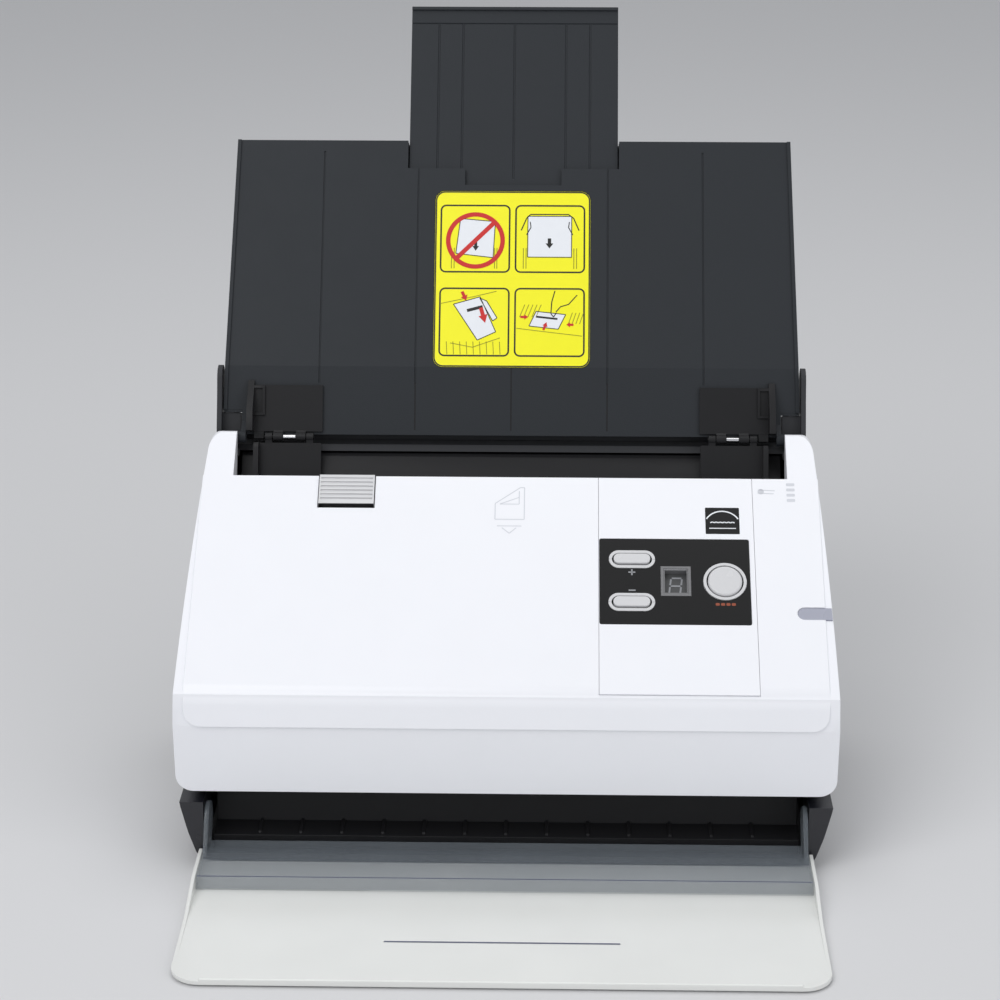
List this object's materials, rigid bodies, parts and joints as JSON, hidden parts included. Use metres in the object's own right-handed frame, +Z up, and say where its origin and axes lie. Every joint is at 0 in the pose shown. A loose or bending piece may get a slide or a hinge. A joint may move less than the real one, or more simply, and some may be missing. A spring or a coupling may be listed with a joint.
{
  "type": "sheet fed document scanner",
  "caption": "Desktop sheet fed document scanner with a folding paper chute, sliding side guides, an opening front cover with push buttons and a fold-down translucent exit tray.",
  "frame": {"origin": "on the table under the middle of the scanner, with the chute and the exit tray open", "axes": "+X to the right as the user faces the control panel, +Y to the back, +Z up"},
  "size_m": [0.318, 0.3704, 0.3741],
  "materials": {
    "white_shell": "fine satin moulding, bright white with a faint blue tint",
    "charcoal_chute": "fine matt texture, charcoal grey",
    "charcoal_shell": "fine matt texture, charcoal grey",
    "black_shell": "satin blue-black moulding",
    "black_plastic": "plain matt black moulding",
    "frame_steel": "zinc plated sheet",
    "bright_steel": "ground bright steel",
    "motor_steel": "grey lacquered can",
    "grey_rubber": "dark grey rubber",
    "acetal": "natural white acetal",
    "pinion_brass": "plain brass",
    "scan_glass": "clear plate glass",
    "circuit_board": "green solder mask",
    "board_parts": "black moulded chip packages",
    "ribbon": "white flexible flat cable",
    "label_black": "smooth black printed overlay",
    "button_silver": "silver grey satin",
    "window_smoke": "smoked clear plastic",
    "digit_grey": "light grey segments",
    "light_grey": "satin grey, lets light through",
    "label_yellow": "printed yellow film",
    "tray_milky": "milky translucent moulding, glossy",
    "tray_clear": "clear moulding with bluish edges"
  },
  "bodies": {
    "root": {"base_pan": "black_shell", "rear_housing": "charcoal_shell", "exit_deck": "black_plastic", "paper_guide": "black_plastic", "side_frames": "frame_steel", "rubber_feet": "grey_rubber", "case_screws": "bright_steel", "shaft_bushes": "acetal", "lower_scan_bar": "black_plastic", "lower_scan_glass": "scan_glass", "main_board": "circuit_board", "board_parts": "board_parts", "scan_ribbon": "ribbon", "dc_jack": "black_plastic", "usb_socket": "bright_steel", "drive_motor": "motor_steel", "latch_catches": "bright_steel", "cover_hinge_pins": "bright_steel", "chute_hinge_pins": "bright_steel"},
    "cover": {"front_cover": "white_shell", "control_panel": "white_shell", "control_label": "label_black", "button_rings": "button_silver", "display_window": "window_smoke", "digit_module": "digit_grey", "button_board": "circuit_board", "light_pipe": "light_grey", "inner_frame": "black_plastic", "upper_scan_bar": "black_plastic", "upper_scan_glass": "scan_glass"},
    "exit_tray": {"exit_tray": "tray_milky", "tray_ramp": "tray_clear"},
    "chute": {"chute_panel": "charcoal_chute", "chute_back": "charcoal_shell", "chute_label": "label_yellow"},
    "chute_extension": {"chute_extension": "charcoal_chute"},
    "left_guide": {"left_guide": "black_plastic"},
    "right_guide": {"right_guide": "black_plastic"},
    "left_flap": {"left_flap": "black_plastic"},
    "right_flap": {"right_flap": "black_plastic"},
    "guide_pinion": {"guide_pinion": "acetal"},
    "transport_roller": {"transport_shaft": "bright_steel", "transport_tyres": "grey_rubber"},
    "feed_roller": {"feed_shaft": "bright_steel", "feed_tyre": "grey_rubber"},
    "exit_roller": {"exit_shaft": "bright_steel", "exit_tyres": "grey_rubber"},
    "drive_idler": {"drive_idler": "acetal"},
    "feed_idler": {"feed_idler": "acetal"},
    "motor_pinion": {"motor_pinion": "pinion_brass"},
    "transport_pinch": {"transport_pinch": "acetal"},
    "exit_pinch": {"exit_pinch": "acetal"},
    "separation_pad": {"separation_pad": "black_plastic"},
    "sensor_flag": {"sensor_flag": "black_plastic"},
    "latch_bar": {"latch_bar": "black_plastic"},
    "release_tab": {"release_tab": "button_silver"},
    "scan_button": {"scan_button": "button_silver"},
    "plus_button": {"plus_button": "button_silver"},
    "minus_button": {"minus_button": "button_silver"},
    "power_rocker": {"power_rocker": "black_plastic"}
  },
  "joints": [
    {"name": "cover_opening", "type": "hinge", "parent": "root", "child": "cover", "pos_m": [0, -0.05723, 0.0435], "axis": [-1, 0, 0], "range_deg": [-70, 0]},
    {"name": "tray_folding", "type": "hinge", "parent": "root", "child": "exit_tray", "pos_m": [0, -0.06223, 0.022], "axis": [-1, 0, 0], "range_deg": [0, 96]},
    {"name": "chute_folding", "type": "hinge", "parent": "root", "child": "chute", "pos_m": [0, 0.06127, 0.1753], "axis": [1, 0, 0], "range_deg": [0, 123]},
    {"name": "extension_sliding", "type": "slide", "parent": "chute", "child": "chute_extension", "axis": [0, 0.5299, 0.848], "range_m": [-0.07, 0]},
    {"name": "left_guide_sliding", "type": "slide", "parent": "chute", "child": "left_guide", "axis": [1, 0, 0], "range_m": [0, 0.085]},
    {"name": "right_guide_sliding", "type": "slide", "parent": "chute", "child": "right_guide", "axis": [-1, 0, 0], "range_m": [0, 0.085]},
    {"name": "guide_pinion_turning", "type": "hinge", "parent": "chute", "child": "guide_pinion", "pos_m": [0, 0.07393, 0.18528], "axis": [0, -0.9272, 0.3746], "range_deg": [-820, 0]},
    {"name": "left_flap_hinge", "type": "hinge", "parent": "left_guide", "child": "left_flap", "pos_m": [0, 0.06127, 0.1753], "axis": [1, 0, 0], "range_deg": [-123, 0]},
    {"name": "right_flap_hinge", "type": "hinge", "parent": "right_guide", "child": "right_flap", "pos_m": [0, 0.06127, 0.1753], "axis": [1, 0, 0], "range_deg": [-123, 0]},
    {"name": "transport_spin", "type": "hinge", "parent": "root", "child": "transport_roller", "pos_m": [0, 0.01684, 0.09743], "axis": [1, 0, 0], "continuous": true},
    {"name": "feed_spin", "type": "hinge", "parent": "root", "child": "feed_roller", "pos_m": [0, 0.03854, 0.11853], "axis": [1, 0, 0], "continuous": true},
    {"name": "exit_spin", "type": "hinge", "parent": "root", "child": "exit_roller", "pos_m": [0, -0.02397, 0.04557], "axis": [1, 0, 0], "continuous": true},
    {"name": "drive_idler_spin", "type": "hinge", "parent": "root", "child": "drive_idler", "pos_m": [0, -0.00357, 0.0715], "axis": [1, 0, 0], "continuous": true},
    {"name": "feed_idler_spin", "type": "hinge", "parent": "root", "child": "feed_idler", "pos_m": [0, 0.03477, 0.09584], "axis": [1, 0, 0], "continuous": true},
    {"name": "motor_spin", "type": "hinge", "parent": "root", "child": "motor_pinion", "pos_m": [0, 0.02199, 0.05779], "axis": [1, 0, 0], "continuous": true},
    {"name": "transport_pinch_spin", "type": "hinge", "parent": "cover", "child": "transport_pinch", "pos_m": [0, 0.00568, 0.10621], "axis": [1, 0, 0], "continuous": true},
    {"name": "exit_pinch_spin", "type": "hinge", "parent": "cover", "child": "exit_pinch", "pos_m": [0, -0.03513, 0.05435], "axis": [1, 0, 0], "continuous": true},
    {"name": "pad_lift", "type": "hinge", "parent": "cover", "child": "separation_pad", "pos_m": [0, 0.01386, 0.11887], "axis": [1, 0, 0], "range_deg": [0, 4], "stiffness_Nm_per_rad": 1, "springref_deg": -3.44},
    {"name": "flag_press", "type": "hinge", "parent": "root", "child": "sensor_flag", "pos_m": [0, 0.00934, 0.08806], "axis": [-1, 0, 0], "range_deg": [0, 14], "stiffness_Nm_per_rad": 0.02, "springref_deg": -2.86},
    {"name": "release_sliding", "type": "slide", "parent": "cover", "child": "release_tab", "axis": [0, -0.7986, -0.6018], "range_m": [0, 0.0016], "stiffness_N_per_m": 1200, "springref_m": -0.0006},
    {"name": "latch_turning", "type": "hinge", "parent": "cover", "child": "latch_bar", "pos_m": [0, 0.02407, 0.14009], "axis": [1, 0, 0], "range_deg": [0, 11.5]},
    {"name": "scan_press", "type": "slide", "parent": "cover", "child": "scan_button", "axis": [0, 0.6018, -0.7986], "range_m": [0, 0.0008], "stiffness_N_per_m": 1500, "springref_m": -0.0005},
    {"name": "plus_press", "type": "slide", "parent": "cover", "child": "plus_button", "axis": [0, 0.6018, -0.7986], "range_m": [0, 0.0008], "stiffness_N_per_m": 1500, "springref_m": -0.0005},
    {"name": "minus_press", "type": "slide", "parent": "cover", "child": "minus_button", "axis": [0, 0.6018, -0.7986], "range_m": [0, 0.0008], "stiffness_N_per_m": 1500, "springref_m": -0.0005},
    {"name": "power_rocking", "type": "hinge", "parent": "root", "child": "power_rocker", "pos_m": [-0.096, 0.09277, 0.021], "axis": [1, 0, 0], "range_deg": [-10, 0]}
  ],
  "couplings": [
    {"joint": "right_guide_sliding", "follows": "left_guide_sliding", "ratio": 1},
    {"joint": "guide_pinion_turning", "follows": "left_guide_sliding", "rad_per_m": -166.67},
    {"joint": "left_flap_hinge", "follows": "chute_folding", "ratio": -1},
    {"joint": "right_flap_hinge", "follows": "chute_folding", "ratio": -1},
    {"joint": "feed_spin", "follows": "transport_spin", "ratio": 0.66667},
    {"joint": "exit_spin", "follows": "transport_spin", "ratio": 1},
    {"joint": "drive_idler_spin", "follows": "transport_spin", "ratio": -0.43478},
    {"joint": "feed_idler_spin", "follows": "transport_spin", "ratio": -1.25},
    {"joint": "motor_spin", "follows": "transport_spin", "ratio": 1.6667},
    {"joint": "transport_pinch_spin", "follows": "transport_spin", "ratio": -1.3333},
    {"joint": "exit_pinch_spin", "follows": "transport_spin", "ratio": -1.3333},
    {"joint": "latch_turning", "follows": "release_sliding", "rad_per_m": 125}
  ]
}
